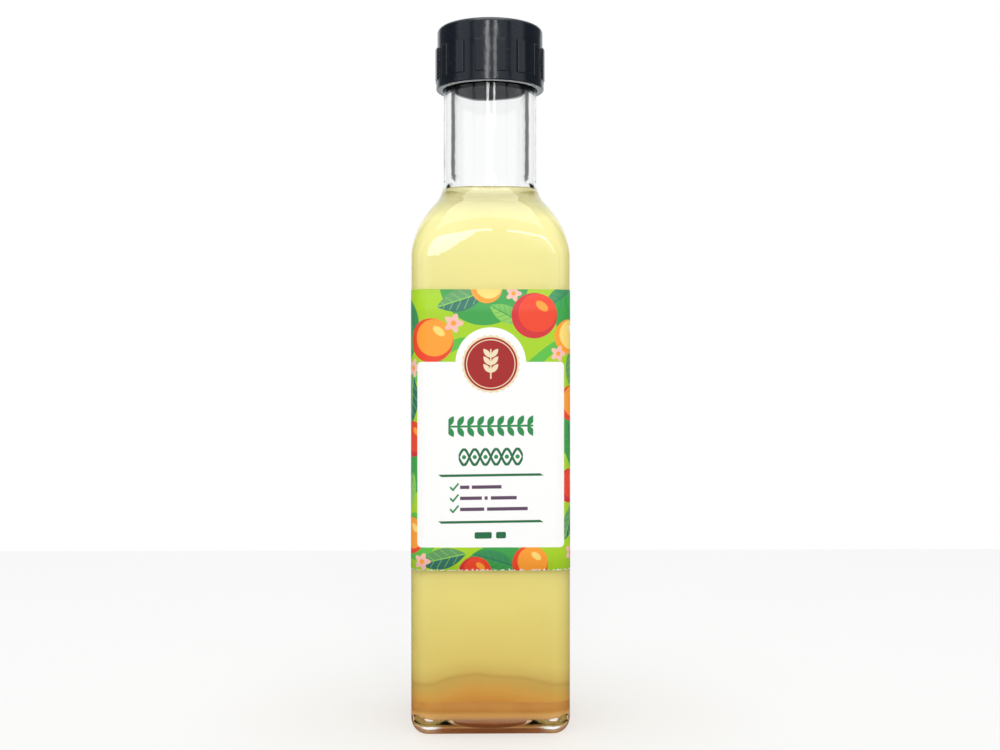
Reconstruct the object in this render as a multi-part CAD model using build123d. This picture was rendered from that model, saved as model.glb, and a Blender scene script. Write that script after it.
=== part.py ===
"""A 250 ml square glass bottle of cloudy vinegar with a black screw cap and a wrap-round paper label.

Frame: +Z up, the origin on the bottle's axis at the foot, -Y the front of the label. Millimetres.
"""

from math import acos, cos, radians, sin, sqrt
import os

from build123d import *

# Bottle, outside
BODY_WIDTH = 46.5
CORNER_RADIUS = 5.0
HEEL_RADIUS = 4.8
MOUTH_HEIGHT = 209.0
SHOULDER_DROP = 69.6
SHOULDER_FOOT_RADIUS = 36.0
SHOULDER_FOOT_TURN = 10.0
SHOULDER_RADIUS = 22.0
NECK_FLARE_RADIUS = 11.8
NECK_DIAMETER = 28.4
MOUTH_EDGE_RADIUS = 0.8

# Bottle, inside
WALL = 2.2
INNER_CORNER_RADIUS = 4.0
INNER_HEEL_RADIUS = 3.8
BASE_THICKNESS = 4.6
INNER_FLARE_RADIUS = 12.0
BORE_DIAMETER = 21.8
FOOT_RING_WIDTH = 3.45
PUNT_RISE = 2.9
FLOOR_DOME_MARGIN = 4.05
FLOOR_DOME_RISE = 1.2

# Contents
FILL_DROP = 48.0
FILL_CLEARANCE = 0.05
SEDIMENT_LEVEL = 9.8
SEDIMENT_MOUND_MARGIN = 2.05
SEDIMENT_MOUND_RISE = 1.6

# Screw cap
CAP_CLEARANCE = 0.3
CAP_SKIRT_DROP = 16.8
CAP_TOP_THICKNESS = 2.0
CAP_SKIRT_WALL = 1.65
CAP_TOP_EDGE_RADIUS = 1.5
CAP_FOOT_BAND_HEIGHT = 2.6
CAP_FOOT_BAND_PROUD = 0.35
CAP_FOOT_CHAMFER = 0.25
GRIP_COUNT = 16
GRIP_WIDTH = 2.7
GRIP_HEIGHT = 9.6
GRIP_PROUD = 0.65
GRIP_EDGE_RADIUS = 0.2

# Label
LABEL_THICKNESS = 0.12
LABEL_GLUE_GAP = 0.02
LABEL_HEIGHT = 81.4
LABEL_SHOULDER_GAP = 9.6
LABEL_SEAM_GAP = 0.6

# Shoulder loft
SHOULDER_SECTIONS = 9
BULGE_POWER = 2.0
CORNER_POWER = 1.5
QUARTER_TURNS = (0, 90, 180, 270)

# Worked-out sizes
SHOULDER_START = MOUTH_HEIGHT - SHOULDER_DROP
FILL_LEVEL = MOUTH_HEIGHT - FILL_DROP
HEEL_SHARE = 0.97
PUNT_RADIUS = BODY_WIDTH / 2 - HEEL_RADIUS - FOOT_RING_WIDTH
FLOOR_DOME_RADIUS = BODY_WIDTH / 2 - WALL - FLOOR_DOME_MARGIN
SEDIMENT_MOUND_RADIUS = BODY_WIDTH / 2 - WALL - SEDIMENT_MOUND_MARGIN
LABEL_FOOT = SHOULDER_START - LABEL_SHOULDER_GAP - LABEL_HEIGHT
CAP_FOOT = MOUTH_HEIGHT - CAP_SKIRT_DROP
CAP_TOP = MOUTH_HEIGHT + CAP_TOP_THICKNESS
CAP_BORE_RADIUS = NECK_DIAMETER / 2 + CAP_CLEARANCE
CAP_RADIUS = CAP_BORE_RADIUS + CAP_SKIRT_WALL
GRIP_FOOT = CAP_FOOT + CAP_FOOT_BAND_HEIGHT


class Envelope:
    """The bottle's outer face, or with an inset its cavity: a rounded square that turns round at the neck.

    Its side goes up the shoulder in two convex arcs and one concave arc, the neck's flare. The
    second convex arc turns as far as it has to for the flare to land on the neck.
    """

    def __init__(self, inset, corner_radius, heel_radius, foot, neck_radius, flare_radius, top):
        self.half_width = BODY_WIDTH / 2 - inset
        self.corner_radius = corner_radius
        # The heel can't be rounder than the upright corners that it meets.
        self.heel_radius = min(heel_radius, HEEL_SHARE * corner_radius)
        self.foot = foot
        self.neck_radius = neck_radius
        self.top = top
        self.lower_radius = SHOULDER_FOOT_RADIUS - inset
        self.upper_radius = SHOULDER_RADIUS - inset
        self.flare_radius = flare_radius
        turn = radians(SHOULDER_FOOT_TURN)
        step = SHOULDER_FOOT_RADIUS - SHOULDER_RADIUS
        self.lower_centre = (self.half_width - self.lower_radius, SHOULDER_START)
        self.upper_centre = (
            self.lower_centre[0] + step * cos(turn),
            self.lower_centre[1] + step * sin(turn),
        )
        self.lower_end = self.lower_centre[1] + self.lower_radius * sin(turn)
        reach = self.upper_radius + flare_radius
        last = acos((neck_radius + flare_radius - self.upper_centre[0]) / reach)
        self.upper_end = self.upper_centre[1] + self.upper_radius * sin(last)
        self.neck_start = self.upper_centre[1] + reach * sin(last)

    def half_width_at(self, height):
        """Half the width across the flats at a height in the shoulder."""
        if height < self.lower_end:
            centre, radius, side = self.lower_centre, self.lower_radius, 1
        elif height < self.upper_end:
            centre, radius, side = self.upper_centre, self.upper_radius, 1
        else:
            flare_centre = (self.neck_radius + self.flare_radius, self.neck_start)
            centre, radius, side = flare_centre, self.flare_radius, -1
        rise = min(abs(height - centre[1]), radius)
        return centre[0] + side * sqrt(radius**2 - rise**2)

    def section(self, share):
        """The outline at a share of the way up the shoulder, from 0 on the body to 1 on the neck."""
        height = SHOULDER_START + share * (self.neck_start - SHOULDER_START)
        half = self.half_width_at(height)
        square_corner = self.corner_radius / self.half_width
        corner = half * (square_corner + (1 - square_corner) * share**CORNER_POWER)
        bulge = share**BULGE_POWER
        if share >= 1:
            side, spread = half, radians(45) / 2
            corner_place = 0.0
        elif share <= 0:
            side, spread = None, 0.0
            corner_place = half - corner
        else:
            side = half / bulge
            spread = acos((side - half) / (side - corner) / sqrt(2)) - radians(45)
            corner_place = (side - corner) * sin(spread)
        edges = []
        for turn in QUARTER_TURNS:
            if side is None:
                flat = Line((-corner_place, half), (corner_place, half))
            else:
                reach = side * sin(spread)
                fall = half - side + side * cos(spread)
                flat = ThreePointArc((-reach, fall), (0, half), (reach, fall))
            diagonal = corner_place + corner * sqrt(0.5)
            start = flat @ 1
            round_corner = ThreePointArc(start, (diagonal, diagonal), (start.Y, start.X))
            edges += [Rot(0, 0, -turn) * flat, Rot(0, 0, -turn) * round_corner]
        return Pos(0, 0, height) * Face(Wire(edges))

    def solid(self):
        """The whole envelope, from its foot to its top."""
        plan = RectangleRounded(2 * self.half_width, 2 * self.half_width, self.corner_radius)
        body = extrude(Pos(0, 0, self.foot) * plan, SHOULDER_START - self.foot)
        body = fillet(body.faces().sort_by(Axis.Z)[0].edges(), self.heel_radius)
        last = SHOULDER_SECTIONS - 1
        shoulder = loft([self.section(i / last) for i in range(SHOULDER_SECTIONS)])
        neck_height = self.top - self.neck_start
        neck = Pos(0, 0, self.neck_start + neck_height / 2) * Cylinder(self.neck_radius, neck_height)
        return body + shoulder + neck


def dome(radius, rise, foot):
    """A shallow spherical cap that stands on a height."""
    ball_radius = (radius**2 + rise**2) / (2 * rise)
    ball = Pos(0, 0, foot + rise - ball_radius) * Sphere(ball_radius)
    return ball & Pos(0, 0, foot + rise / 2) * Box(2 * radius, 2 * radius, rise)


def slab(foot, top):
    """A block wider than the bottle between two heights."""
    return Pos(0, 0, (foot + top) / 2) * Box(2 * BODY_WIDTH, 2 * BODY_WIDTH, top - foot)


def inner_envelope(clearance, top):
    """The cavity, smaller by a clearance at its walls and its floor."""
    return Envelope(
        WALL + clearance,
        INNER_CORNER_RADIUS - clearance,
        INNER_HEEL_RADIUS - clearance,
        BASE_THICKNESS + clearance,
        BORE_DIAMETER / 2 - clearance,
        INNER_FLARE_RADIUS + clearance,
        top,
    )


def glass_bottle():
    """The bottle: a heavy base with a punt, even walls and a plain round neck open at the mouth."""
    neck_radius = NECK_DIAMETER / 2
    envelope = Envelope(0, CORNER_RADIUS, HEEL_RADIUS, 0, neck_radius, NECK_FLARE_RADIUS, MOUTH_HEIGHT)
    outside = envelope.solid()
    mouth = outside.faces().sort_by(Axis.Z)[-1]
    outside = fillet(mouth.edges(), MOUTH_EDGE_RADIUS)
    cavity = inner_envelope(0, MOUTH_HEIGHT + 1).solid()
    cavity -= dome(FLOOR_DOME_RADIUS, FLOOR_DOME_RISE, BASE_THICKNESS)
    return outside - cavity - dome(PUNT_RADIUS, PUNT_RISE, 0)


def sediment_zone():
    """Everything below the top of the sediment, which mounds up in the middle."""
    mound = dome(SEDIMENT_MOUND_RADIUS, SEDIMENT_MOUND_RISE, SEDIMENT_LEVEL)
    return slab(0, SEDIMENT_LEVEL) + mound


def contents():
    """What fills the cavity up to the level: the clear part, and the sediment under it."""
    room = inner_envelope(FILL_CLEARANCE, MOUTH_HEIGHT).solid()
    floor_dome = dome(FLOOR_DOME_RADIUS, FLOOR_DOME_RISE, BASE_THICKNESS + FILL_CLEARANCE)
    room = (room & slab(0, FILL_LEVEL)) - floor_dome
    zone = sediment_zone()
    return room - zone, room & zone


def screw_cap():
    """The cap: a plain top and skirt, a proud band at the foot and a ring of upright grip blocks."""
    height = CAP_TOP - CAP_FOOT
    shell = Pos(0, 0, CAP_FOOT + height / 2) * Cylinder(CAP_RADIUS, height)
    shell = fillet(shell.faces().sort_by(Axis.Z)[-1].edges(), CAP_TOP_EDGE_RADIUS)
    band_radius = CAP_RADIUS + CAP_FOOT_BAND_PROUD
    band = Pos(0, 0, CAP_FOOT + CAP_FOOT_BAND_HEIGHT / 2) * Cylinder(band_radius, CAP_FOOT_BAND_HEIGHT)
    band = chamfer(band.faces().sort_by(Axis.Z)[0].edges(), CAP_FOOT_CHAMFER)
    shell += band
    depth = CAP_SKIRT_WALL + GRIP_PROUD
    block = Box(depth, GRIP_WIDTH, GRIP_HEIGHT)
    outer_face = block.faces().sort_by(Axis.X)[-1]
    block = fillet(outer_face.edges(), GRIP_EDGE_RADIUS)
    reach = CAP_RADIUS + GRIP_PROUD - depth / 2
    pitch = 360 / GRIP_COUNT
    for i in range(GRIP_COUNT):
        turned = Rot(0, 0, (i + 0.5) * pitch)
        shell += turned * Pos(reach, 0, GRIP_FOOT + GRIP_HEIGHT / 2) * block
    bore = Pos(0, 0, CAP_FOOT + CAP_SKIRT_DROP / 2) * Cylinder(CAP_BORE_RADIUS, CAP_SKIRT_DROP)
    return shell - bore


def label():
    """The paper wrap round all four sides, with its seam up the middle of the back."""
    inner_half = BODY_WIDTH / 2 + LABEL_GLUE_GAP
    outer_half = inner_half + LABEL_THICKNESS
    plan = RectangleRounded(2 * outer_half, 2 * outer_half, CORNER_RADIUS + LABEL_GLUE_GAP + LABEL_THICKNESS)
    plan -= RectangleRounded(2 * inner_half, 2 * inner_half, CORNER_RADIUS + LABEL_GLUE_GAP)
    wrap = extrude(Pos(0, 0, LABEL_FOOT) * plan, LABEL_HEIGHT)
    seam = Pos(0, BODY_WIDTH / 2, LABEL_FOOT + LABEL_HEIGHT / 2)
    return wrap - seam * Box(LABEL_SEAM_GAP, CORNER_RADIUS, LABEL_HEIGHT + 1)


def main():
    """Builds each piece and writes it to a file of its own."""
    os.makedirs("parts", exist_ok=True)
    vinegar, sediment = contents()
    pieces = {
        "glass_bottle": glass_bottle(),
        "screw_cap": screw_cap(),
        "label": label(),
        "vinegar": vinegar,
        "sediment": sediment,
    }
    for name, piece in pieces.items():
        export_step(piece, f"parts/{name}.step")
        print(name, "ml:", round(piece.volume / 1000, 2))


main()
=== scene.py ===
"""Looks of a square glass bottle of cloudy vinegar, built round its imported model.

Metres, +Z up, -Y the front of the label. Sizes in the classes are in millimetres.
"""

import logging
import math
from dataclasses import dataclass
from enum import Enum
from typing import Any, Sequence, Union

import bpy
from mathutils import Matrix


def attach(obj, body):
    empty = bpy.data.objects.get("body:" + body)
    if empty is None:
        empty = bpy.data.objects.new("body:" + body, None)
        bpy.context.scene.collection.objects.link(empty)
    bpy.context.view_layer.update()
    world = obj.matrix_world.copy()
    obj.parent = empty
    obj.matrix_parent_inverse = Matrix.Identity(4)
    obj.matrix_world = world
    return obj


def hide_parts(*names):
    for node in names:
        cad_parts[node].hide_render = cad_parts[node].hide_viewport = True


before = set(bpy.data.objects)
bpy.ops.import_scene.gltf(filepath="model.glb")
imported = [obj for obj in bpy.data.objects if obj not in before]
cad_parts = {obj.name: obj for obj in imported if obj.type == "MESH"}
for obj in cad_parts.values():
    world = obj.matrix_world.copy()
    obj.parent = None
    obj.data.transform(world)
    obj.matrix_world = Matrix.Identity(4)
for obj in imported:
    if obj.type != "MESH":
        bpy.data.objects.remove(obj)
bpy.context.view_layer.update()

LOG = logging.getLogger("vinegar_bottle")
MM = 0.001
QUARTERS = 4
Colour = tuple[float, float, float]
Place = tuple[float, float]


def linear(red: int, green: int, blue: int) -> Colour:
    """Turns display values from 0 to 255 into linear ones.

    Args:
        red: The red value.
        green: The green value.
        blue: The blue value.

    Returns:
        The colour in linear light.
    """
    def channel(value: int) -> float:
        """One channel in linear light."""
        share = value / 255
        return share / 12.92 if share <= 0.04045 else ((share + 0.055) / 1.055) ** 2.4

    return channel(red), channel(green), channel(blue)


class Finish(Enum):
    """A name for the finish of each kind of piece."""

    GLASS = "clear_glass"
    CAP = "black_plastic"
    PAPER = "printed_paper"
    VINEGAR = "cloudy_vinegar"
    SEDIMENT = "brown_sediment"


# ---------------------------------------------------------------- shader maths


class Num:
    """A number in a shader: a socket that takes part in Python expressions."""

    def __init__(self, shader: "Shader", socket: bpy.types.NodeSocket) -> None:
        """Wraps a socket.

        Args:
            shader: The material that the socket belongs to.
            socket: The output socket that gives the number.
        """
        self.shader = shader
        self.socket = socket

    def math(self, operation: str, *others: "Value", clamp: bool = False) -> "Num":
        """Adds one Math node.

        Args:
            operation: The node's operation.
            others: The second and third operands.
            clamp: Whether the result is held between 0 and 1.

        Returns:
            The node's result.
        """
        return self.shader.math(operation, self, *others, clamp=clamp)

    def __add__(self, other: "Value") -> "Num":
        """Self plus other."""
        return self.math("ADD", other)

    __radd__ = __add__

    def __sub__(self, other: "Value") -> "Num":
        """Self minus other."""
        return self.math("SUBTRACT", other)

    def __rsub__(self, other: "Value") -> "Num":
        """Other minus self."""
        return self.shader.math("SUBTRACT", other, self)

    def __mul__(self, other: "Value") -> "Num":
        """Self times other."""
        return self.math("MULTIPLY", other)

    __rmul__ = __mul__

    def __truediv__(self, other: "Value") -> "Num":
        """Self divided by other."""
        return self.math("DIVIDE", other)

    def __abs__(self) -> "Num":
        """Self without its sign."""
        return self.math("ABSOLUTE")

    def __neg__(self) -> "Num":
        """Minus self."""
        return self.math("MULTIPLY", -1.0)

    def fit(self, factor: float, offset: "Value", clamp: bool = False) -> "Num":
        """Self times a factor plus an offset, in one node."""
        return self.shader.math("MULTIPLY_ADD", self, factor, offset, clamp=clamp)

    def above(self, edge: "Value", soft: float) -> "Num":
        """1 where self is above an edge, with a soft step of that width."""
        if isinstance(edge, Num):
            return (self - edge).fit(1 / soft, 0.5, clamp=True)
        return self.fit(1 / soft, 0.5 - edge / soft, clamp=True)

    def below(self, edge: "Value", soft: float) -> "Num":
        """1 where self is below an edge, with a soft step of that width."""
        if isinstance(edge, Num):
            return (self - edge).fit(-1 / soft, 0.5, clamp=True)
        return self.fit(-1 / soft, 0.5 + edge / soft, clamp=True)


Value = Union[Num, float]


class Shader:
    """A material or world, and short ways to add its nodes."""

    def __init__(self, name: str, world: bool = False) -> None:
        """Starts the empty nodes of a material, or of a world.

        Args:
            name: Its name.
            world: Whether it is a world.
        """
        self.owner = (bpy.data.worlds if world else bpy.data.materials).new(name)
        self.owner.use_nodes = True
        self.tree = self.owner.node_tree
        self.tree.nodes.clear()

    def node(self, kind: str, settings: dict[str, Any] | None = None, **inputs: Any) -> bpy.types.Node:
        """Adds a node.

        Args:
            kind: The node's type.
            settings: Its own properties, set first.
            inputs: Values or links of its sockets, by name with _ for a space.

        Returns:
            The node.
        """
        node = self.tree.nodes.new(kind)
        for key, value in (settings or {}).items():
            if getattr(node, key) != value:
                setattr(node, key, value)
        for key, value in inputs.items():
            self.feed(node.inputs[key.replace("_", " ")], value)
        return node

    def feed(self, target: bpy.types.NodeSocket, value: Any) -> None:
        """Links a socket or sets its value.

        Args:
            target: The input socket.
            value: A Num, a socket, a number or a colour.
        """
        if isinstance(value, Num):
            value = value.socket
        if isinstance(value, bpy.types.NodeSocket):
            self.tree.links.new(value, target)
        elif target.type == "RGBA" and len(value) == 3:
            target.default_value = (*value, 1.0)
        elif target.type != "VALUE" or target.default_value != value:
            target.default_value = value

    def math(self, operation: str, *operands: Value, clamp: bool = False) -> Num:
        """Adds a Math node.

        Args:
            operation: Its operation.
            operands: Up to three numbers.
            clamp: Whether the result is held between 0 and 1.

        Returns:
            The result.
        """
        node = self.node("ShaderNodeMath", {"operation": operation, "use_clamp": clamp})
        for target, operand in zip(node.inputs, operands):
            self.feed(target, operand)
        return Num(self, node.outputs[0])

    def mix(self, factor: Value, first: Any, second: Any) -> bpy.types.NodeSocket:
        """Mixes two colours.

        Args:
            factor: The share of the second.
            first: The colour at 0.
            second: The colour at 1.

        Returns:
            The mixed colour's socket.
        """
        node = self.node("ShaderNodeMix", {"data_type": "RGBA"})
        colours = [socket for socket in node.inputs if socket.type == "RGBA"]
        self.feed(node.inputs[0], factor)
        self.feed(colours[0], first)
        self.feed(colours[1], second)
        return next(socket for socket in node.outputs if socket.type == "RGBA")

    def mix_closures(self, factor: Any, first: bpy.types.Node, second: bpy.types.Node) -> bpy.types.Node:
        """Mixes two closures.

        Args:
            factor: The share of the second.
            first: The node of the closure at 0.
            second: The node of the closure at 1.

        Returns:
            The mixing node.
        """
        node = self.node("ShaderNodeMixShader", Fac=factor)
        self.feed(node.inputs[1], first.outputs[0])
        self.feed(node.inputs[2], second.outputs[0])
        return node

    def place(self) -> tuple[Num, Num, Num]:
        """Object coordinates in millimetres."""
        coordinates = self.node("ShaderNodeTexCoord").outputs["Object"]
        split = self.node("ShaderNodeSeparateXYZ", Vector=coordinates)
        x, y, z = (Num(self, output) * (1 / MM) for output in split.outputs)
        return x, y, z

    def noise(self, scale: float, detail: float = 2.0, vector: Any = None) -> Num:
        """Noise from about 0.3 to 0.7.

        Args:
            scale: Its scale for each metre.
            detail: How many finer layers it has.
            vector: Its coordinates, or none for Object coordinates.

        Returns:
            The noise's value.
        """
        where = vector or self.node("ShaderNodeTexCoord").outputs["Object"]
        node = self.node("ShaderNodeTexNoise", Vector=where, Scale=scale, Detail=detail)
        return Num(self, node.outputs[0])

    def ramp(self, value: Num, stops: Sequence[tuple[float, Colour]]) -> bpy.types.NodeSocket:
        """A colour ramp.

        Args:
            value: Where on the ramp, from 0 to 1.
            stops: Places and colours, in order.

        Returns:
            The colour's socket.
        """
        node = self.node("ShaderNodeValToRGB", Fac=value)
        elements = node.color_ramp.elements
        elements[0].position, elements[1].position = stops[0][0], stops[-1][0]
        elements[0].color, elements[1].color = (*stops[0][1], 1.0), (*stops[-1][1], 1.0)
        for position, colour in stops[1:-1]:
            elements.new(position).color = (*colour, 1.0)
        return node.outputs["Color"]

    def bump(self, height: Num, strength: float, distance: float) -> bpy.types.NodeSocket:
        """Bumps the normal by a height."""
        node = self.node("ShaderNodeBump", Height=height, Strength=strength, Distance=distance)
        return node.outputs["Normal"]

    def principled(self, **inputs: Any) -> bpy.types.Node:
        """Adds a Principled BSDF with the given sockets."""
        return self.node("ShaderNodeBsdfPrincipled", **inputs)

    def output(self, surface: bpy.types.NodeSocket, volume: bpy.types.NodeSocket | None = None) -> None:
        """Ends the material.

        Args:
            surface: The closure of its surface.
            volume: The closure of its inside, if any.
        """
        node = self.node("ShaderNodeOutputMaterial", Surface=surface)
        if volume:
            self.feed(node.inputs["Volume"], volume)


# ---------------------------------------------------------------- modelling


def deselect() -> None:
    """Leaves nothing selected, in object mode."""
    if bpy.context.object and bpy.context.object.mode != "OBJECT":
        bpy.ops.object.mode_set(mode="OBJECT")
    bpy.ops.object.select_all(action="DESELECT")


def apply_modifier(piece: bpy.types.Object, kind: str, **settings: Any) -> None:
    """Adds a modifier to a piece and applies it.

    Args:
        piece: The piece.
        kind: The modifier's type.
        settings: Its properties.
    """
    deselect()
    bpy.context.view_layer.objects.active = piece
    piece.select_set(True)
    modifier = piece.modifiers.new(kind.title(), kind)
    for key, value in settings.items():
        setattr(modifier, key, value)
    bpy.ops.object.modifier_apply(modifier=modifier.name)
    deselect()


@dataclass(frozen=True)
class Ring:
    """One level of a skin: a rounded square whose sides may bulge until it is round.

    A half-width of 0 is a pole.
    """

    height: float
    half: float
    corner: float
    bulge: float

    def point(self, share: float, corner_share: float) -> tuple[float, float]:
        """A point of one quarter of the outline, which starts and ends in the middle of a side.

        Args:
            share: How far along the quarter, from 0 to 1.
            corner_share: The middle part of the quarter that belongs to the corner.

        Returns:
            Its x and y, where the quarter starts on the +X side.
        """
        if share > 0.5:
            x, y = self.point(1 - share, corner_share)
            return y, x
        corner = min(self.corner, self.half)
        side_share = (1 - corner_share) / 2
        if self.half <= 0:
            return 0.0, 0.0
        if self.bulge >= 1 or corner >= self.half:
            angle = math.pi / 2 * share
            return self.half * math.cos(angle), self.half * math.sin(angle)
        if self.bulge <= 0:
            spread, middle = 0.0, self.half - corner
            if share <= side_share:
                return self.half, middle * share / side_share
        else:
            side = self.half / self.bulge
            spread = math.acos((side - self.half) / (side - corner) / math.sqrt(2)) - math.pi / 4
            middle = (side - corner) * math.sin(spread)
            if share <= side_share:
                angle = spread * share / side_share
                return self.half - side + side * math.cos(angle), side * math.sin(angle)
        turn = (share - side_share) / corner_share
        angle = spread + (math.pi / 2 - 2 * spread) * turn
        return middle + corner * math.cos(angle), middle + corner * math.sin(angle)


def skin(name: str, rings: Sequence[Ring], count: int, corner_share: float = 0.4) -> bpy.types.Object:
    """Models a skin: a circle extruded once for each ring, then set to the rings' outlines.

    Args:
        name: The piece's name.
        rings: Its levels, in order from one end to the other.
        count: Corners of each ring, a multiple of 8.
        corner_share: The share of each quarter's points that its corner gets.

    Returns:
        The piece, with its doubles merged and its faces outwards.
    """
    deselect()
    bpy.ops.mesh.primitive_circle_add(vertices=count, radius=1.0, location=(0, 0, 0))
    piece = bpy.context.object
    piece.name = piece.data.name = name
    bpy.ops.object.mode_set(mode="EDIT")
    bpy.ops.mesh.select_all(action="SELECT")
    for _ in rings[1:]:
        bpy.ops.mesh.extrude_region_move(TRANSFORM_OT_translate={"value": (0, 0, 1)})
    bpy.ops.object.mode_set(mode="OBJECT")
    quarter = count // QUARTERS
    for vertex in piece.data.vertices:
        ring = rings[round(vertex.co.z)]
        turn = math.atan2(vertex.co.y, vertex.co.x) % (2 * math.pi)
        index = round(turn / (2 * math.pi) * count) % count
        x, y = ring.point(index % quarter / quarter, corner_share)
        for _ in range(index // quarter):
            x, y = -y, x
        vertex.co = (x * MM, y * MM, ring.height * MM)
    bpy.ops.object.mode_set(mode="EDIT")
    bpy.ops.mesh.select_all(action="SELECT")
    bpy.ops.mesh.remove_doubles(threshold=1e-7)
    bpy.ops.mesh.normals_make_consistent(inside=False)
    bpy.ops.object.mode_set(mode="OBJECT")
    bpy.ops.object.shade_smooth_by_angle(angle=math.radians(35))
    deselect()
    return piece


def finish_piece(piece: bpy.types.Object, material: bpy.types.Material, slot: Finish, *nodes: str) -> None:
    """Gives a piece its material and its place in the frame.

    Args:
        piece: The piece.
        material: Its material.
        slot: Not used.
        nodes: The nodes that it stands for.
    """
    piece.data.materials.clear()
    piece.data.materials.append(material)
    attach(piece, "root")
    if nodes:
        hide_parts(*nodes)
    LOG.info("%s: %d faces", piece.name, len(piece.data.polygons))


# ---------------------------------------------------------------- glass


@dataclass(frozen=True)
class Envelope:
    """The bottle's outside, or its cavity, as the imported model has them."""

    half: float
    corner: float
    heel: float
    foot: float
    neck: float
    flare: float
    inset: float
    top: float
    shoulder_start: float = 139.4
    foot_radius: float = 36.0
    foot_turn: float = 10.0
    shoulder_radius: float = 22.0
    heel_steps: int = 8
    shoulder_steps: int = 34

    def arcs(self) -> tuple[float, float, float, float, float, float]:
        """Centres and ends of the shoulder's arcs.

        Returns:
            The first arc's radius and end, the second's centre as half-width and height, its end
            and where the neck starts.
        """
        turn = math.radians(self.foot_turn)
        lower = self.foot_radius - self.inset
        upper = self.shoulder_radius - self.inset
        step = lower - upper
        centre = self.half - lower + step * math.cos(turn)
        height = self.shoulder_start + step * math.sin(turn)
        last = math.acos((self.neck + self.flare - centre) / (upper + self.flare))
        end = height + upper * math.sin(last)
        return (lower, self.shoulder_start + lower * math.sin(turn), centre, height, end,
                height + (upper + self.flare) * math.sin(last))

    def half_at(self, height: float) -> float:
        """Half the width across the flats.

        Args:
            height: Where, in millimetres.

        Returns:
            The half-width.
        """
        lower, lower_end, centre, centre_height, end, neck_start = self.arcs()
        if height <= self.shoulder_start:
            return self.half
        if height >= neck_start:
            return self.neck
        if height < lower_end:
            return self.half - lower + math.sqrt(lower**2 - (height - self.shoulder_start) ** 2)
        if height < end:
            radius = self.shoulder_radius - self.inset
            return centre + math.sqrt(radius**2 - (height - centre_height) ** 2)
        return self.neck + self.flare - math.sqrt(self.flare**2 - (neck_start - height) ** 2)

    def ring(self, height: float) -> Ring:
        """The outline above the heel.

        Args:
            height: Where, in millimetres.

        Returns:
            The ring.
        """
        neck_start = self.arcs()[-1]
        share = (height - self.shoulder_start) / (neck_start - self.shoulder_start)
        share = min(max(share, 0.0), 1.0)
        half = self.half_at(height)
        square = self.corner / self.half
        corner = half * (square + (1 - square) * share**1.5)
        return Ring(height, half, corner, share**2)

    def heel_rings(self) -> list[Ring]:
        """The rings of the rounded heel, from the foot upwards."""
        rings = []
        for step in range(self.heel_steps + 1):
            angle = math.pi / 2 * step / self.heel_steps
            inset = self.heel * (1 - math.sin(angle))
            height = self.foot + self.heel * (1 - math.cos(angle))
            rings.append(Ring(height, self.half - inset, max(self.corner - inset, 0.15), 0.0))
        return rings

    def wall_rings(self, top: float) -> list[Ring]:
        """The rings of the wall.

        Args:
            top: The height of the last one.

        Returns:
            The rings, upwards from just above the heel.
        """
        neck_start = self.arcs()[-1]
        low = self.foot + self.heel
        heights = [low + 0.6, low + 2.5] + [low + 8 + 10 * i for i in range(12)]
        heights += [self.shoulder_start - 3, self.shoulder_start - 0.6]
        span = neck_start - self.shoulder_start
        heights += [self.shoulder_start + span * i / self.shoulder_steps
                    for i in range(self.shoulder_steps + 1)]
        heights += [neck_start + 0.8, neck_start + 3, neck_start + 12, neck_start + 24, neck_start + 36]
        heights = sorted(h for h in heights if h < top - 0.2)
        return [self.ring(h) for h in heights] + [self.ring(top)]


OUTSIDE = Envelope(half=23.25, corner=5.0, heel=4.8, foot=0.0, neck=14.2, flare=11.8, inset=0.0, top=209.0)
CAVITY = Envelope(half=21.05, corner=4.0, heel=3.8, foot=4.6, neck=10.9, flare=12.0, inset=2.2, top=209.0)


def dome_rings(radius: float, rise: float, foot: float, steps: int = 8) -> list[Ring]:
    """Rings of a shallow dome, from its pole out to its edge.

    Args:
        radius: The dome's radius.
        rise: Its height.
        foot: The height of its edge.
        steps: How many rings.

    Returns:
        The rings, with the pole first.
    """
    ball = (radius**2 + rise**2) / (2 * rise)
    rings = []
    for step in range(steps + 1):
        reach = radius * step / steps
        rings.append(Ring(foot + rise - ball + math.sqrt(ball**2 - reach**2), reach, reach, 1.0))
    return rings


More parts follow.
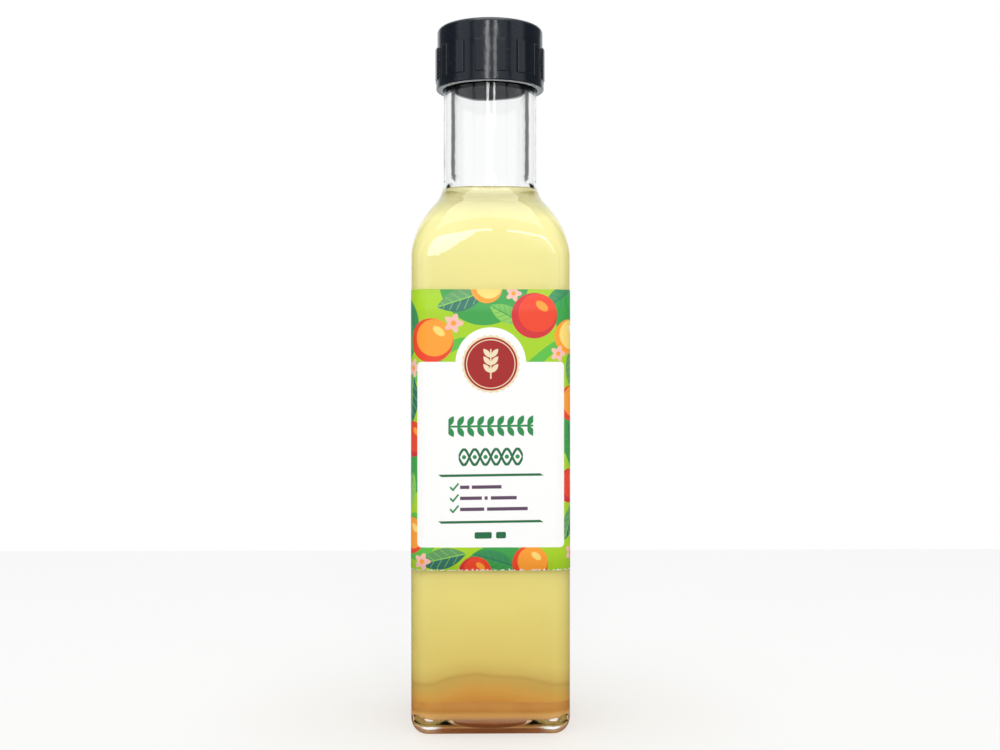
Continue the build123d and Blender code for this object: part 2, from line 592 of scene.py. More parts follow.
@dataclass
class GlassBottle:
    """The clear glass shell, inside and out."""

    punt_radius: float = 15.0
    punt_rise: float = 2.9
    floor_radius: float = 17.0
    floor_rise: float = 1.2
    lip_radius: float = 0.8
    bore_edge: float = 0.5
    foot_reach: float = 15.6
    foot_low: float = 0.5
    foot_high: float = 4.5
    clear_tint: Colour = (0.985, 0.995, 0.99)
    # painted brown for the foot, where the sediment shows through the base
    painted_foot_tint: Colour = (0.42, 0.2, 0.08)
    shadow_tint: Colour = (0.94, 0.95, 0.93)
    count: int = 160

    def rings(self) -> list[Ring]:
        """All rings, from the punt's pole up the outside, over the mouth and down to the floor's pole."""
        outside = dome_rings(self.punt_radius, self.punt_rise, 0.0) + OUTSIDE.heel_rings()
        outside += OUTSIDE.wall_rings(OUTSIDE.top - self.lip_radius)
        lip = []
        for step in range(1, 6):
            angle = math.pi / 2 * step / 5
            half = OUTSIDE.neck - self.lip_radius * (1 - math.cos(angle))
            lip.append(Ring(OUTSIDE.top - self.lip_radius * (1 - math.sin(angle)), half, half, 1.0))
        for step in range(4):
            angle = math.pi / 2 * step / 3
            half = CAVITY.neck + self.bore_edge * (1 - math.sin(angle))
            lip.append(Ring(OUTSIDE.top - self.bore_edge * (1 - math.cos(angle)), half, half, 1.0))
        inside = CAVITY.heel_rings() + CAVITY.wall_rings(OUTSIDE.top - self.bore_edge - 0.4)
        floor = dome_rings(self.floor_radius, self.floor_rise, CAVITY.foot)
        return outside + lip + inside[::-1] + floor[::-1]

    def material(self) -> bpy.types.Material:
        """Clear glass with a faint ripple and a painted brown foot, where the sediment shows through the base.
        It lets lamp light through.
        """
        shader = Shader("clear glass")
        ripple = shader.noise(60.0, 1.0) * 0.7 + shader.noise(260.0, 1.0) * 0.3
        normal = shader.bump(ripple, 0.05, 0.002)
        x, y, z = shader.place()
        # Painted image: the foot's clear glass is tinted brown, for the sediment seen through the thick base.
        middle = abs(x).math("MINIMUM", abs(y)).below(self.foot_reach, 3.0)
        painted_foot_brown = middle * z.below(self.foot_high, 0.9) * z.above(self.foot_low, 0.5)
        tint = shader.mix(painted_foot_brown, self.clear_tint, self.painted_foot_tint)
        glass = shader.principled(Base_Color=tint, Roughness=0.0, IOR=1.5, Normal=normal)
        glass.inputs["Transmission Weight"].default_value = 1.0
        clear = shader.node("ShaderNodeBsdfTransparent", Color=self.shadow_tint)
        rays = shader.node("ShaderNodeLightPath")
        mixed = shader.mix_closures(rays.outputs["Is Shadow Ray"], glass, clear)
        shader.output(mixed.outputs[0])
        return shader.owner

    def build(self) -> None:
        """Models the shell."""
        piece = skin("bottle_glass", self.rings(), self.count)
        finish_piece(piece, self.material(), Finish.GLASS, "glass_bottle")


# ---------------------------------------------------------------- contents


@dataclass
class Vinegar:
    """The vinegar up to its level, and the sediment under it, which reach just into the glass."""

    level: float = 161.0
    into_wall: float = 0.35
    sediment_level: float = 9.8
    sediment_radius: float = 19.0
    sediment_rise: float = 1.6
    joint: float = 0.03
    plug_radius: float = 16.2
    plug_foot: float = 3.1
    # glow and dense_glow are painted glow: emission that brightens the vinegar's and the sediment's colours,
    # though neither gives light
    glow: float = 0.17
    dense_glow: float = 0.30
    count: int = 128
    sunlit: Colour = linear(248, 242, 196)

    def grown(self) -> Envelope:
        """The cavity, larger by what the liquid reaches into the wall."""
        by = self.into_wall
        return Envelope(half=CAVITY.half + by, corner=CAVITY.corner + by, heel=CAVITY.heel + by,
                        foot=CAVITY.foot - by, neck=CAVITY.neck + by, flare=CAVITY.flare - by,
                        inset=CAVITY.inset - by, top=CAVITY.top)

    def mound(self, offset: float) -> list[Ring]:
        """The sediment's top from its pole outwards, and the flat ring round it.

        Args:
            offset: How far above the sediment's level.

        Returns:
            The rings.
        """
        room = self.grown()
        level = self.sediment_level + offset
        rings = dome_rings(self.sediment_radius, self.sediment_rise, level)
        return rings + [Ring(level, room.half, room.corner, 0.0)]

    def clear_rings(self) -> list[Ring]:
        """Rings of the vinegar: over the sediment, up the wall, and its free surface with a meniscus."""
        room = self.grown()
        rings = self.mound(self.joint)
        rings += [ring for ring in room.wall_rings(self.level - 0.1) if ring.height > self.sediment_level + 1]
        rim = room.half_at(self.level)
        for reach, drop in ((0.35, 0.2), (0.8, 0.34), (1.6, 0.46), (3.0, 0.52), (6.0, 0.54), (rim, 0.54)):
            half = rim - reach
            rings.append(Ring(self.level - 0.1 - drop, half, half, 1.0))
        return rings

    def sediment_rings(self) -> list[Ring]:
        """Rings of the sediment, from the floor's pole up to the mound's."""
        room = self.grown()
        rings = dome_rings(self.plug_radius, 0.9, self.plug_foot)
        rings += [Ring(self.plug_foot + 0.4, self.plug_radius + 0.4, self.plug_radius + 0.4, 1.0)]
        rings += room.heel_rings()
        rings += [Ring(self.sediment_level - 0.6, room.half, room.corner, 0.0)]
        return rings + self.mound(0.0)[::-1]

    def colour(self, shader: Shader) -> bpy.types.NodeSocket:
        """Pale yellow at the shoulder, deeper with depth, and brown at the floor. From about 9.5 to 17.4 mm the
        browns, with a darker line at 16.3 mm, are a painted image of the sediment's top seen through the glass,
        and a painted darker ring marks the meniscus at the level.

        Args:
            shader: The material.

        Returns:
            The colour's socket.
        """
        x, y, z = shader.place()
        drift = (shader.noise(45.0, 3.0) - 0.5) * 5.0
        # arch lifts the painted line of the sediment's edge in the middle of the front and back.
        arch = shader.math("COSINE", x * 0.11) * 1.6
        depth = z + drift * z.below(60.0, 60.0) - arch * z.below(24.0, 8.0)
        share = depth.fit(1 / self.level, 0.0, clamp=True)
        # Painted image: from about 9.5 to 17.4 mm the stops give the sediment's browns, with a darker line at
        # 16.3 mm, where the sediment's top shows through the glass.
        stops = (
            (2.0, (150, 88, 34)), (6.0, (180, 120, 44)), (9.5, (194, 136, 52)), (12.0, (198, 150, 64)),
            (15.6, (188, 156, 76)), (16.3, (181, 148, 71)), (17.4, (197, 172, 90)), (21.0, (207, 187, 102)),
            (31.0, (212, 196, 112)), (46.0, (226, 213, 128)), (90.0, (238, 227, 145)),
            (132.0, (241, 232, 158)), (146.0, (236, 229, 160)), (160.0, (234, 228, 164)),
        )
        shade = shader.ramp(share, [(height / self.level, linear(*tone)) for height, tone in stops])
        # Painted shade: a darker gold ring at the level, standing in for the dark edge of the meniscus.
        rim = z.above(self.level - 0.6, 0.3) * (x * x + y * y).above((CAVITY.neck + 1.2) ** 2, 12.0)
        return shader.mix(rim * 0.9, shade, linear(166, 130, 52))

    def vinegar_material(self) -> bpy.types.Material:
        """Cloudy liquid: clear near its level, and cloudier with depth. Its cloudy part has a painted glow in
        its own colour, though it gives no light.
        """
        shader = Shader("cloudy vinegar")
        z = shader.place()[2]
        tone = self.colour(shader)
        # Painted glow: the cloudy part emits its own colour, to brighten it behind the glass.
        cloud = shader.principled(Base_Color=tone, Roughness=0.5, IOR=1.34, Emission_Color=tone,
                                  Emission_Strength=self.glow)
        clear = shader.principled(Base_Color=self.sunlit, Roughness=0.0, IOR=1.34)
        clear.inputs["Transmission Weight"].default_value = 1.0
        share = 0.14 + z.below(154.0, 7.0) * 0.66 + z.below(60.0, 60.0) * 0.2
        mixed = shader.mix_closures(share, clear, cloud)
        haze = shader.node("ShaderNodeVolumeAbsorption", Color=linear(250, 236, 150), Density=9.0)
        shader.output(mixed.outputs[0], haze.outputs[0])
        return shader.owner

    def sediment_material(self) -> bpy.types.Material:
        """Amber brown, uneven in tone, cloudy through, with a painted glow in its own colour and a painted
        paler band low down by the walls, for light through the thick base glass.
        """
        shader = Shader("brown sediment")
        x, y, z = shader.place()
        tone = shader.noise(140.0, 4.0).above(0.5, 0.5)
        upper = shader.mix(tone, linear(172, 114, 38), linear(182, 128, 48))
        lower = shader.mix(tone, linear(168, 118, 80), linear(180, 132, 92))
        tone = shader.mix(z.above(5.2, 2.2), lower, upper)
        # Painted light: a paler band low down near the walls, for light coming through the thick base glass.
        painted_light_band = abs(x).math("MAXIMUM", abs(y)).above(18.5, 2.0) * z.below(6.6, 1.2)
        tone = shader.mix(painted_light_band * 0.8, tone, linear(214, 166, 92))
        # Painted glow: the sediment emits its own colour, though it gives no light.
        body = shader.principled(Base_Color=tone, Roughness=0.45, Emission_Color=tone,
                                 Emission_Strength=self.dense_glow)
        shader.output(body.outputs[0])
        return shader.owner

    def build(self) -> None:
        """Models the vinegar and the sediment."""
        piece = skin("vinegar_fill", self.clear_rings(), self.count)
        finish_piece(piece, self.vinegar_material(), Finish.VINEGAR, "vinegar")
        piece = skin("sediment_layer", self.sediment_rings(), self.count)
        finish_piece(piece, self.sediment_material(), Finish.SEDIMENT, "sediment")


# ---------------------------------------------------------------- label


@dataclass
class Drawing:
    """A print in the making: its coordinates, and the colour laid so far."""

    shader: Shader
    u: Num
    v: Num
    colour: Any = None

    def lay(self, mask: Num, colour: Any) -> None:
        """Lays a colour where a mask is 1."""
        self.colour = self.shader.mix(mask, self.colour, colour)


@dataclass(frozen=True)
class Print:
    """The label's print, on its own map: u round the bottle from the front, v up, in millimetres."""

    period: float = 89.17
    soft: float = 0.12
    panel_half: float = 21.5
    panel_foot: float = 6.7
    panel_top: float = 60.4
    panel_corner: float = 1.3
    seal_height: float = 59.8
    rise: float = 0.013
    garland_height: float = 41.8
    garland_spacing: float = 2.9
    braid_height: float = 32.9
    braid_turn: float = 1.0134
    bead_half: float = 1.55
    lime: Colour = linear(168, 212, 26)
    fresh: Colour = linear(92, 192, 68)
    green: Colour = linear(60, 165, 74)
    dark: Colour = linear(47, 117, 102)
    leaf: Colour = linear(143, 207, 93)
    red: Colour = linear(240, 66, 32)
    crimson: Colour = linear(214, 44, 52)
    orange: Colour = linear(255, 160, 44)
    yellow: Colour = linear(255, 220, 118)
    pink: Colour = linear(248, 192, 180)
    paper: Colour = linear(250, 250, 249)
    ink: Colour = linear(38, 140, 76)
    deep: Colour = linear(28, 110, 66)
    plum: Colour = linear(96, 70, 96)
    seal: Colour = linear(168, 26, 26)
    cream: Colour = linear(240, 222, 186)

    def disc(self, u: Num, v: Num, at: Place, radius: float) -> Num:
        """1 inside a disc."""
        across, up = u - at[0], v - at[1]
        square = across.math("MULTIPLY_ADD", across, up * up)
        return square.below(radius**2, 2 * radius * self.soft)

    def around(self, u: Num, at: Place, reach: float) -> tuple[Num, Place]:
        """Shifts a shape that crosses the pattern's edge, so that it goes on at the other edge.

        Args:
            u: Place round the bottle.
            at: The shape's middle.
            reach: How far it reaches from its middle.

        Returns:
            The place to draw it by, and its middle there.
        """
        if abs(at[0]) + reach < self.period / 2:
            return u, at
        return (u - at[0]).math("WRAP", self.period / 2, -self.period / 2), (0.0, at[1])

    def turned(self, u: Num, v: Num, at: Place, angle: float) -> tuple[Num, Num]:
        """Coordinates from a place, turned.

        Args:
            u: Place round the bottle.
            v: Place up the label.
            at: Their new origin.
            angle: The turn in degrees.

        Returns:
            The distance along the new direction, and beside it.
        """
        turn = math.radians(angle)
        cos, sin = math.cos(turn), math.sin(turn)
        along = u.fit(cos, v.fit(sin, -at[0] * cos - at[1] * sin))
        beside = v.fit(cos, u.fit(-sin, at[0] * sin - at[1] * cos))
        return along, beside

    def bar(self, u: Num, v: Num, low: Place, high: Place) -> Num:
        """1 inside an upright rectangle."""
        across = abs(u - (low[0] + high[0]) / 2).below((high[0] - low[0]) / 2, self.soft)
        up = abs(v - (low[1] + high[1]) / 2).below((high[1] - low[1]) / 2, self.soft)
        return across.math("MINIMUM", up)

    def box(self, u: Num, v: Num, centre: Place, half: Place, corner: float) -> Num:
        """1 inside a rectangle with round corners.

        Args:
            u: Place round the bottle.
            v: Place up the label.
            centre: The rectangle's middle.
            half: Half its width and height.
            corner: Its corner radius.

        Returns:
            The mask.
        """
        across = (abs(u - centre[0]) - (half[0] - corner)).math("MAXIMUM", 0.0)
        up = (abs(v - centre[1]) - (half[1] - corner)).math("MAXIMUM", 0.0)
        return (across * across + up * up).math("SQRT").below(corner, self.soft)

    def add_leaf(self, art: Drawing, at: Place, angle: float, length: float, width: float,
                 colours: tuple[Colour, Colour]) -> None:
        """Lays a pointed leaf with a midrib and side veins.

        Args:
            art: The print so far.
            at: The leaf's middle.
            angle: The way it points, in degrees.
            length: From stem to tip.
            width: Across its middle.
            colours: Its blade's and its veins' colour.
        """
        u, at = self.around(art.u, at, length / 2)
        along, beside = self.turned(u, art.v, at, angle)
        reach = along * (2 / length)
        edge = (1.0 - reach * reach) * (width / 2)
        blade = abs(beside).below(edge, self.soft)
        art.lay(blade, colours[0])
        art.lay(blade * beside.above(0.0, self.soft) * 0.38, colours[1])
        veins = (along + abs(beside) * 0.9).math("PINGPONG", length / 12).below(0.14, 0.12)
        rib = abs(beside).below(0.16, 0.12).math("MAXIMUM", veins * 0.7)
        art.lay(rib * abs(beside).below(edge * 0.86, self.soft), colours[1])

    def add_fruit(self, art: Drawing, at: Place, radius: float, colours: tuple[Colour, Colour, Colour]) -> None:
        """Lays a round fruit with a shaded side and a light patch.

        Args:
            art: The print so far.
            at: The fruit's middle.
            radius: Its radius.
            colours: Its body, its shaded side and its light patch.
        """
        u, at = self.around(art.u, at, radius)
        art.lay(self.disc(u, art.v, at, radius), colours[1])
        lit = (at[0] + radius * 0.14, at[1] + radius * 0.12)
        art.lay(self.disc(u, art.v, lit, radius * 0.84), colours[0])
        along, beside = self.turned(u, art.v, (at[0] + radius * 0.34, at[1] + radius * 0.42), 142)
        patch = (along * along * 0.30 + beside * beside).math("SQRT").below(radius * 0.17, 0.2)
        art.lay(patch, colours[2])

    def add_blossom(self, art: Drawing, at: Place, radius: float) -> None:
        """Lays a five-petalled blossom.

        Args:
            art: The print so far.
            at: The blossom's middle.
            radius: Its radius.
        """
        u, at = self.around(art.u, at, radius)
        across, up = u - at[0], art.v - at[1]
        turn = art.shader.math("ARCTAN2", up, across)
        edge = art.shader.math("COSINE", turn * 5.0) * (radius * 0.2) + radius * 0.8
        away = (across * across + up * up).math("SQRT")
        art.lay(away.below(edge, self.soft), self.pink)
        art.lay(away.below(radius * 0.26, self.soft), self.orange)

    def pattern(self, whole: Drawing) -> None:
        """Lays the printed fruit and leaves, twice round the bottle.

        Args:
            whole: The print so far.
        """
        shader = whole.shader
        art = Drawing(shader, whole.u.math("WRAP", self.period / 2, -self.period / 2), whole.v)
        wave = shader.math("SINE", art.v * 0.19) * 5.0 + shader.math("SINE", art.u * 0.21) * 4.0
        veil = (wave + art.v * 0.2).math("PINGPONG", 9.0).above(7.2, 0.2)
        art.colour = shader.mix(veil, self.lime, self.fresh)
        for at, radius in (
            ((-2.0, 84.0), 13.0), ((27.5, 74.0), 9.0), ((-30.5, 69.0), 9.5), ((-24.6, 30.0), 8.0),
            ((26.5, 41.0), 8.5), ((2.6, -5.0), 12.5), ((33.0, 24.0), 9.0), ((41.0, 52.0), 8.0),
            ((-37.0, 40.0), 9.5), ((-41.0, 8.0), 9.0), ((43.0, 76.0), 8.0),
        ):
            place, middle = self.around(art.u, at, radius)
            art.lay(self.disc(place, art.v, middle, radius), self.green)
        dark, leafy = (self.dark, self.leaf), (self.green, self.dark)
        pale = (self.leaf, self.green)
        for at, angle, length, width, colours in (
            ((-8.5, 78.5), 18, 15.0, 6.6, dark), ((4.5, 74.2), -28, 11.0, 5.0, pale),
            ((20.5, 79.0), 35, 13.0, 6.0, leafy), ((-24.6, 74.0), -62, 14.0, 6.0, leafy),
            ((25.2, 60.0), 76, 13.0, 5.6, dark), ((-24.0, 49.0), 84, 15.0, 5.6, dark),
            ((24.4, 36.0), -80, 14.0, 5.6, leafy), ((-25.4, 22.0), 70, 14.0, 6.0, pale),
            ((24.0, 14.0), 64, 12.0, 5.4, dark), ((-14.0, 3.4), 12, 14.0, 6.0, dark),
            ((1.0, 3.0), -16, 13.0, 5.6, leafy), ((38.0, 72.0), -40, 16.0, 7.0, dark),
            ((40.5, 45.0), 30, 16.0, 7.0, leafy), ((-38.0, 33.0), -35, 16.0, 7.0, dark),
            ((37.5, 20.0), -66, 15.0, 6.4, pale), ((-37.0, 6.0), 20, 15.0, 6.4, dark),
            ((-36.5, 60.0), 58, 15.0, 6.4, pale),
        ):
            self.add_leaf(art, at, angle, length, width, colours)
        warm = (self.orange, self.red, self.yellow)
        bright = (self.red, self.crimson, self.orange)
        ripe = (self.yellow, self.orange, self.paper)
        for at, radius, colours in (
            ((-17.2, 66.6), 6.4, warm), ((12.6, 73.8), 6.6, bright), ((-1.2, 82.0), 4.6, ripe),
            ((23.4, 67.8), 5.0, ripe), ((-23.6, 38.0), 5.2, bright), ((24.6, 48.4), 5.2, warm),
            ((24.0, 24.4), 5.0, bright), ((-24.4, 10.0), 5.4, warm), ((11.4, 2.0), 5.2, warm),
            ((-4.6, -0.8), 4.8, bright), ((34.0, 59.0), 7.0, bright), ((44.2, 31.0), 7.2, warm),
            ((-35.0, 47.0), 6.8, warm), ((-42.0, 71.0), 7.4, bright), ((-41.4, 18.0), 7.0, bright),
            ((34.0, 6.0), 6.6, ripe), ((43.6, 58.0), 4.2, ripe),
        ):
            self.add_fruit(art, at, radius, colours)
        for at, radius in (
            ((-10.8, 71.6), 2.9), ((19.6, 62.8), 2.4), ((-23.2, 58.6), 2.8), ((24.6, 5.0), 2.6),
            ((-20.0, 2.6), 2.6), ((6.6, 80.2), 2.4), ((37.0, 35.0), 3.4), ((-43.0, 56.0), 3.4),
            ((-33.0, 22.0), 3.2), ((40.0, 12.0), 3.0),
        ):
            self.add_blossom(art, at, radius)
        whole.colour = art.colour

    def panel(self, art: Drawing) -> None:
        """Lays the white panel with its arch, its ornaments, rules and rows.

        Args:
            art: The print so far.
        """
        middle = (self.panel_foot + self.panel_top) / 2
        half = (self.panel_half, (self.panel_top - self.panel_foot) / 2)
        shape = self.box(art.u, art.v, (0.0, middle), half, self.panel_corner)
        arch = self.disc(art.u, art.v, (0.0, self.panel_top - 0.2), 10.2)
        art.lay(shape.math("MAXIMUM", arch), self.paper)
        self.garland(art)
        self.braid(art)
        rise = art.v - art.u * self.rise
        for height, reach in ((27.6, 14.8), (14.1, 14.8)):
            slant = art.u + (rise - height) * 1.4
            rule = abs(slant).below(reach, 0.2).math("MINIMUM", abs(rise - height).below(0.36, 0.12))
            art.lay(rule, self.deep)
        for height, ends in (
            (24.2, ((-8.9, -6.2), (-5.5, 3.1))),
            (21.0, ((-8.9, -2.6), (-1.8, -0.9), (0.0, 7.5))),
            (17.8, ((-8.9, -1.9), (-1.1, 10.7))),
        ):
            for start, end in ends:
                art.lay(self.bar(art.u, rise, (start, height - 0.5), (end, height + 0.5)), self.plum)
            self.tick(art, rise, height)
        for start, end in ((-4.7, 0.3), (1.5, 4.4)):
            block = self.box(art.u, rise, ((start + end) / 2, 10.2), ((end - start) / 2, 0.95), 0.5)
            art.lay(block, self.deep)

    def tick(self, art: Drawing, rise: Num, height: float) -> None:
        """Lays a tick mark beside a row.

        Args:
            art: The print so far.
            rise: The place up the label along the tilted rows.
            height: The row's middle.
        """
        for at, angle, length in (((-11.35, height - 0.35), -48, 1.3), ((-10.2, height + 0.1), 50, 2.7)):
            along, beside = self.turned(art.u, rise, at, angle)
            stroke = abs(along).below(length / 2, 0.12).math("MINIMUM", abs(beside).below(0.27, 0.12))
            art.lay(stroke, self.ink)

    def garland(self, art: Drawing) -> None:
        """Lays a wide band of paired leaves along a stem.

        Args:
            art: The print so far.
        """
        rise = art.v - art.u * self.rise - self.garland_height
        cell = art.u.math("WRAP", self.garland_spacing / 2, -self.garland_spacing / 2) + 0.9
        inside = abs(art.u).below(12.3, self.soft)
        along = cell * 0.5 + abs(rise) * 0.87 - 1.75
        beside = abs(rise) * 0.5 - cell * 0.87
        edge = (1.0 - along * along * 0.327) * 0.86
        leaves = abs(beside).below(edge, self.soft)
        stem = abs(rise).below(0.3, 0.12)
        art.lay(leaves.math("MAXIMUM", stem) * inside, self.ink)

    def braid(self, art: Drawing) -> None:
        """Lays a narrower band: a braid of two waves with beads.

        Args:
            art: The print so far.
        """
        rise = art.v - art.u * self.rise - self.braid_height
        wave = art.shader.math("SINE", art.u * self.braid_turn) * 2.2
        slope = abs(art.shader.math("COSINE", art.u * self.braid_turn)) * 0.5 + 0.34
        strands = abs(abs(rise) - abs(wave)).below(slope, 0.2)
        art.lay(strands * abs(art.u).below(9.3, 0.12), self.deep)
        cell = (art.u + self.bead_half).math("WRAP", self.bead_half, -self.bead_half)
        bead = (cell * cell + rise * rise).math("SQRT").below(0.62, 0.12) * abs(art.u).below(9.4, 0.2)
        art.lay(bead, self.ink)

    def stamp(self, art: Drawing) -> None:
        """Lays a round red seal with a scalloped cream edge and a small sprig.

        Args:
            art: The print so far.
        """
        side, up = abs(art.u), art.v - self.seal_height
        away = (art.u * art.u + up * up).math("SQRT")
        turn = art.shader.math("ARCTAN2", up, art.u)
        scallop = art.shader.math("COSINE", turn * 28.0) * 0.16 + 8.35
        art.lay(away.below(scallop, self.soft), self.cream)
        art.lay(away.below(7.7, self.soft), self.seal)
        art.lay(abs(away - 7.0).below(0.13, 0.12), self.cream)
        sprig = side.below(0.2, 0.12) * abs(up).below(4.3, 0.12)
        for height in (-2.6, -0.4, 1.8):
            along = side * 0.64 + (up - height) * 0.77 - 1.7
            beside = (up - height) * 0.64 - side * 0.77
            edge = (1.0 - along * along * 0.36) * 0.72
            sprig = sprig.math("MAXIMUM", abs(beside).below(edge, self.soft))
        art.lay(sprig * away.below(6.2, 0.2), self.cream)

    def material(self) -> bpy.types.Material:
        """Coated paper with its print, faint fibre and white flecks along its lower edge."""
        shader = Shader("printed paper")
        uv = shader.node("ShaderNodeUVMap", {"uv_map": "print"}).outputs[0]
        split = shader.node("ShaderNodeSeparateXYZ", Vector=uv)
        art = Drawing(shader, Num(shader, split.outputs[0]), Num(shader, split.outputs[1]))
        self.pattern(art)
        self.panel(art)
        self.stamp(art)
        fleck = shader.noise(1400.0, 2.0)
        art.lay(art.v.below(fleck * 2.0 - 0.85, 0.1), self.paper)
        fibre = shader.noise(2600.0, 3.0)
        rough = 0.42 + (fibre - 0.5) * 0.2
        body = shader.principled(Base_Color=art.colour, Roughness=rough, IOR=1.45,
                                 Normal=shader.bump(fibre + shader.noise(90.0, 1.0) * 2.0, 0.12, 0.0003))
        shader.output(body.outputs[0])
        return shader.owner


@dataclass
class Label:
    """The paper wrap round the four sides."""

    foot: float = 48.4
    top: float = 129.8
    half: float = 23.35
    corner: float = 5.1
    thickness: float = 0.06
    levels: int = 12
    count: int = 320

    def round_place(self, x: float, y: float, side: float) -> float:
        """The distance round the label from the middle of its front.

        Args:
            x: Millimetres to the right.
            y: Millimetres to the back.
            side: The sign of the face's own x, which settles the seam.

        Returns:
            The distance, negative to the left.
        """
        flat = self.half - self.corner
        bend = math.pi / 2 * self.corner
        reach = abs(x)
        if y <= -flat and reach <= flat:
            return x
        if y <= -flat:
            return math.copysign(flat + self.corner * math.atan2(reach - flat, -flat - y), side)
        if y <= flat:
            return math.copysign(flat + bend + y + flat, side)
        if reach > flat:
            return math.copysign(3 * flat + bend + self.corner * math.atan2(y - flat, reach - flat), side)
        return math.copysign(3 * flat + 2 * bend + flat - reach, side)

    def wrap(self) -> bpy.types.Object:
        """Models the wrap and its print's map."""
        span = self.top - self.foot
        rings = [Ring(self.foot + span * i / self.levels, self.half, self.corner, 0.0)
                 for i in range(self.levels + 1)]
        piece = skin("label_wrap", rings, self.count, 0.5)
        self.map_print(piece)
        apply_modifier(piece, "SOLIDIFY", thickness=self.thickness * MM, offset=-1.0)
        return piece

    def map_print(self, piece: bpy.types.Object) -> None:
        """Maps the print: round the bottle and up the label, in millimetres.

        Args:
            piece: The wrap.
        """
        layer = piece.data.uv_layers.new(name="print")
        piece.data.uv_layers.active = layer
        for face in piece.data.polygons:
            side = face.center.x or 1e-6
            for loop in face.loop_indices:
                place = piece.data.vertices[piece.data.loops[loop].vertex_index].co / MM
                own_side = place.x if abs(place.x) > 1e-4 else side
                layer.data[loop].uv = (self.round_place(place.x, place.y, own_side), place.z - self.foot)

    def build(self) -> None:
        """Models the label."""
        piece = self.wrap()
        finish_piece(piece, Print().material(), Finish.PAPER, "label")


# ---------------------------------------------------------------- cap


@dataclass
class ScrewCap:
    """The black cap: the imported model's shape with a moulded finish."""

    def material(self) -> bpy.types.Material:
        """Glossy black plastic with faint flow marks and a few dust specks."""
        shader = Shader("black moulded plastic")
        flow = shader.noise(220.0, 3.0)
        speck = shader.noise(2600.0, 1.0).above(0.74, 0.04)
        base = shader.mix(speck * 0.5, linear(17, 23, 33), linear(104, 110, 120))
        rough = 0.15 + (flow - 0.4) * 0.15
        normal = shader.bump(flow, 0.25, 0.0004)
        body = shader.principled(Base_Color=base, Roughness=rough, IOR=1.5, Normal=normal)
        shader.output(body.outputs[0])
        return shader.owner

    def dress(self) -> None:
        """Gives the node its finish."""
        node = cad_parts["screw_cap"]
        material = self.material()
        for slot in node.material_slots:
            slot.material = material
        LOG.info("screw_cap dressed")


# ---------------------------------------------------------------- studio


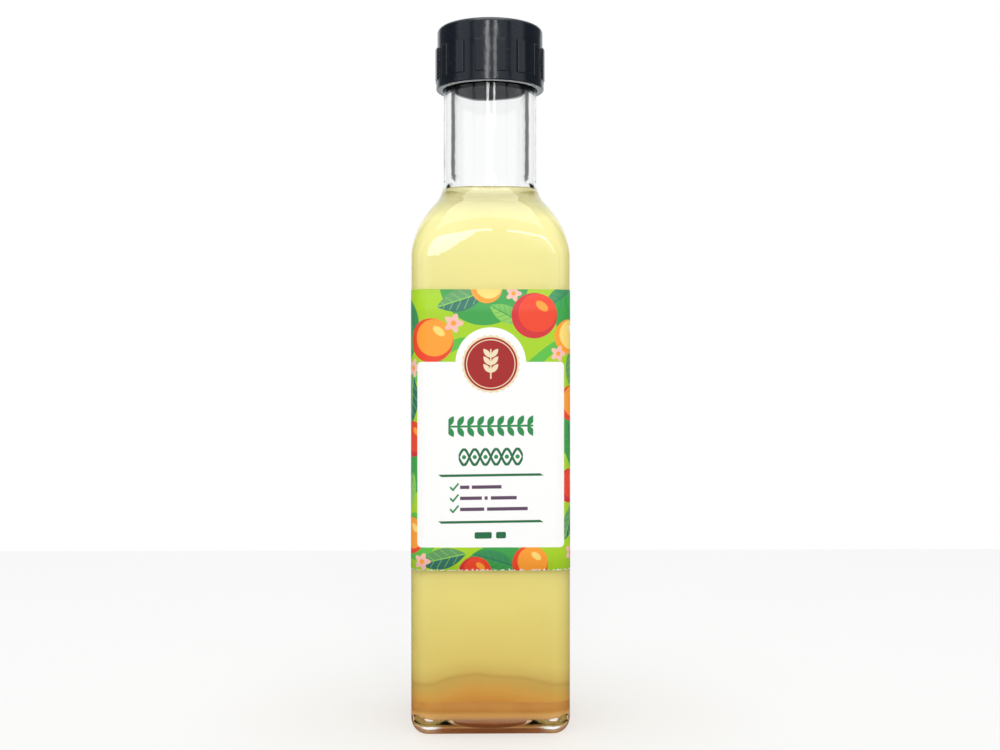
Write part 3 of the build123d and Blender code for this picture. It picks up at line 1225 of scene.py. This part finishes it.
@dataclass
class Studio:
    """The floor, the light and the camera."""

    camera_height: float = 105.0
    camera_distance: float = 400.0
    camera_side: float = 3.07
    camera_turn: float = -1.0
    lens: float = 46.84
    table_back: float = 380.0

    def world(self) -> None:
        """A white room, with dark bars in front that gloss shows, and dark screens behind for glass."""
        shader = Shader("studio", world=True)
        bpy.context.scene.world = shader.owner
        where = shader.node("ShaderNodeTexCoord").outputs["Generated"]
        split = shader.node("ShaderNodeSeparateXYZ", Vector=where)
        x, y, z = (Num(shader, output) for output in split.outputs)
        turn = abs(shader.math("ARCTAN2", x, -y))
        bars = turn.below(0.07, 0.05).math("MAXIMUM", abs(turn - 0.72).below(0.06, 0.05))
        front = (1.0 - bars * z.below(0.62, 0.1) * 0.85) * 0.78
        dark = turn.above(1.36, 0.16) * turn.below(2.5, 0.2) * z.below(0.7, 0.2)
        mirrored = front * turn.below(1.9, 0.2) + turn.above(1.9, 0.2)
        mirrored = mirrored * (1.0 - dark * 0.88)
        flag = abs(turn - 2.1).below(0.3, 0.12) * z.below(0.5, 0.12) * z.above(0.02, 0.1)
        through = 1.0 - flag * 0.85
        rays = shader.node("ShaderNodeLightPath")
        seen, glossy, passed = (Num(shader, rays.outputs[name]) for name in (
            "Is Camera Ray", "Is Glossy Ray", "Is Transmission Ray"))
        glossy = glossy * (1.0 - passed)
        rest = 1.0 - shader.math("MAXIMUM", seen, glossy.math("MAXIMUM", passed))
        strength = seen + glossy * mirrored + passed * through + rest * 0.6
        tint = shader.mix(glossy, (1.0, 1.0, 1.0), (0.9, 0.96, 1.0))
        background = shader.node("ShaderNodeBackground", Color=tint, Strength=strength)
        shader.node("ShaderNodeOutputWorld", Surface=background.outputs[0])

    def floor(self) -> None:
        """A pale floor that keeps a soft shadow, with a painted warm shade round the bottle's foot."""
        deselect()
        bpy.ops.mesh.primitive_plane_add(size=4.0, location=(0, self.table_back * MM - 2.0, -0.05 * MM))
        piece = bpy.context.object
        piece.name = "studio_floor"
        bpy.ops.object.transform_apply(location=True, rotation=False, scale=False)
        shader = Shader("pale floor")
        x, y, _ = shader.place()
        # Painted shade: within about 60 mm of the bottle the floor turns darker and warmer, for the amber light
        # and shade round its foot.
        reach = (x * x + y * y).math("SQRT").below(60.0, 70.0)
        base = shader.mix(shader.noise(8.0, 2.0), (0.9, 0.897, 0.89), (0.92, 0.918, 0.912))
        base = shader.mix(reach * 0.8, base, (0.8, 0.76, 0.66))
        matte = shader.principled(Base_Color=base, Roughness=0.6)
        matte.inputs["Specular IOR Level"].default_value = 0.2
        glow = shader.node("ShaderNodeEmission", Color=(1.0, 1.0, 1.0), Strength=1.0)
        dim = shader.node("ShaderNodeBsdfDiffuse", Color=(0.16, 0.15, 0.14))
        rays = shader.node("ShaderNodeLightPath")
        passed = Num(shader, rays.outputs["Is Transmission Ray"])
        seen = shader.math("MAXIMUM", Num(shader, rays.outputs["Is Camera Ray"]), passed)
        lit = shader.mix_closures(seen * 0.55, matte, glow)
        mirrored = Num(shader, rays.outputs["Is Glossy Ray"]) * (1.0 - passed)
        shader.output(shader.mix_closures(mirrored, lit, dim).outputs[0])
        piece.data.materials.append(shader.owner)

    def lamp(self, name: str, turn: float, lift: float, size: tuple[float, float], power: float,
             distance: float = 2.0) -> None:
        """Adds a window-like lamp that faces the bottle.

        Args:
            name: Its name.
            turn: Degrees to the right of the camera, seen from the bottle.
            lift: Degrees above the horizon.
            size: Its width and height in metres.
            power: Watts.
            distance: Metres from the bottle.
        """
        data = bpy.data.lights.new(name, "AREA")
        data.shape, data.size, data.size_y, data.energy = "RECTANGLE", size[0], size[1], power
        lamp = bpy.data.objects.new(name, data)
        bpy.context.scene.collection.objects.link(lamp)
        side, up = math.radians(turn), math.radians(lift)
        lamp.location = (distance * math.cos(up) * math.sin(side), -distance * math.cos(up) * math.cos(side),
                         0.13 + distance * math.sin(up))
        lamp.rotation_euler = (math.pi / 2 - up, 0.0, side)

    def camera(self) -> None:
        """The camera, level with the middle of the bottle and a little to the right."""
        data = bpy.data.cameras.new("camera")
        data.lens, data.sensor_width, data.clip_start = self.lens, 36.0, 0.01
        camera = bpy.data.objects.new("camera", data)
        bpy.context.scene.collection.objects.link(camera)
        turn = math.radians(self.camera_turn)
        camera.location = ((self.camera_distance * math.sin(turn) + self.camera_side * math.cos(turn)) * MM,
                           (self.camera_side * math.sin(turn) - self.camera_distance * math.cos(turn)) * MM,
                           self.camera_height * MM)
        camera.rotation_euler = (math.pi / 2, 0.0, turn)
        bpy.context.scene.camera = camera

    def build(self) -> None:
        """Sets the whole studio up."""
        self.camera()
        self.world()
        self.floor()
        self.lamp("window_left_head", -0.9, 35.0, (0.12, 0.13), 0.4)
        self.lamp("window_left_pane", -5.7, 21.5, (0.23, 1.0), 5.8)
        self.lamp("window_right_head", 7.2, 34.5, (0.18, 0.12), 0.57)
        self.lamp("window_right_pane", 10.8, 23.5, (0.14, 0.8), 2.8)
        self.lamp("overhead", 0.0, 78.0, (1.6, 1.6), 18.0)
        bpy.context.scene.view_settings.view_transform = "Standard"


def main() -> None:
    """Builds the studio and then each sub-assembly."""
    logging.basicConfig(level=logging.INFO, format="%(message)s")
    Studio().build()
    GlassBottle().build()
    Vinegar().build()
    Label().build()
    ScrewCap().dress()


if __name__ == "__main__":
    main()
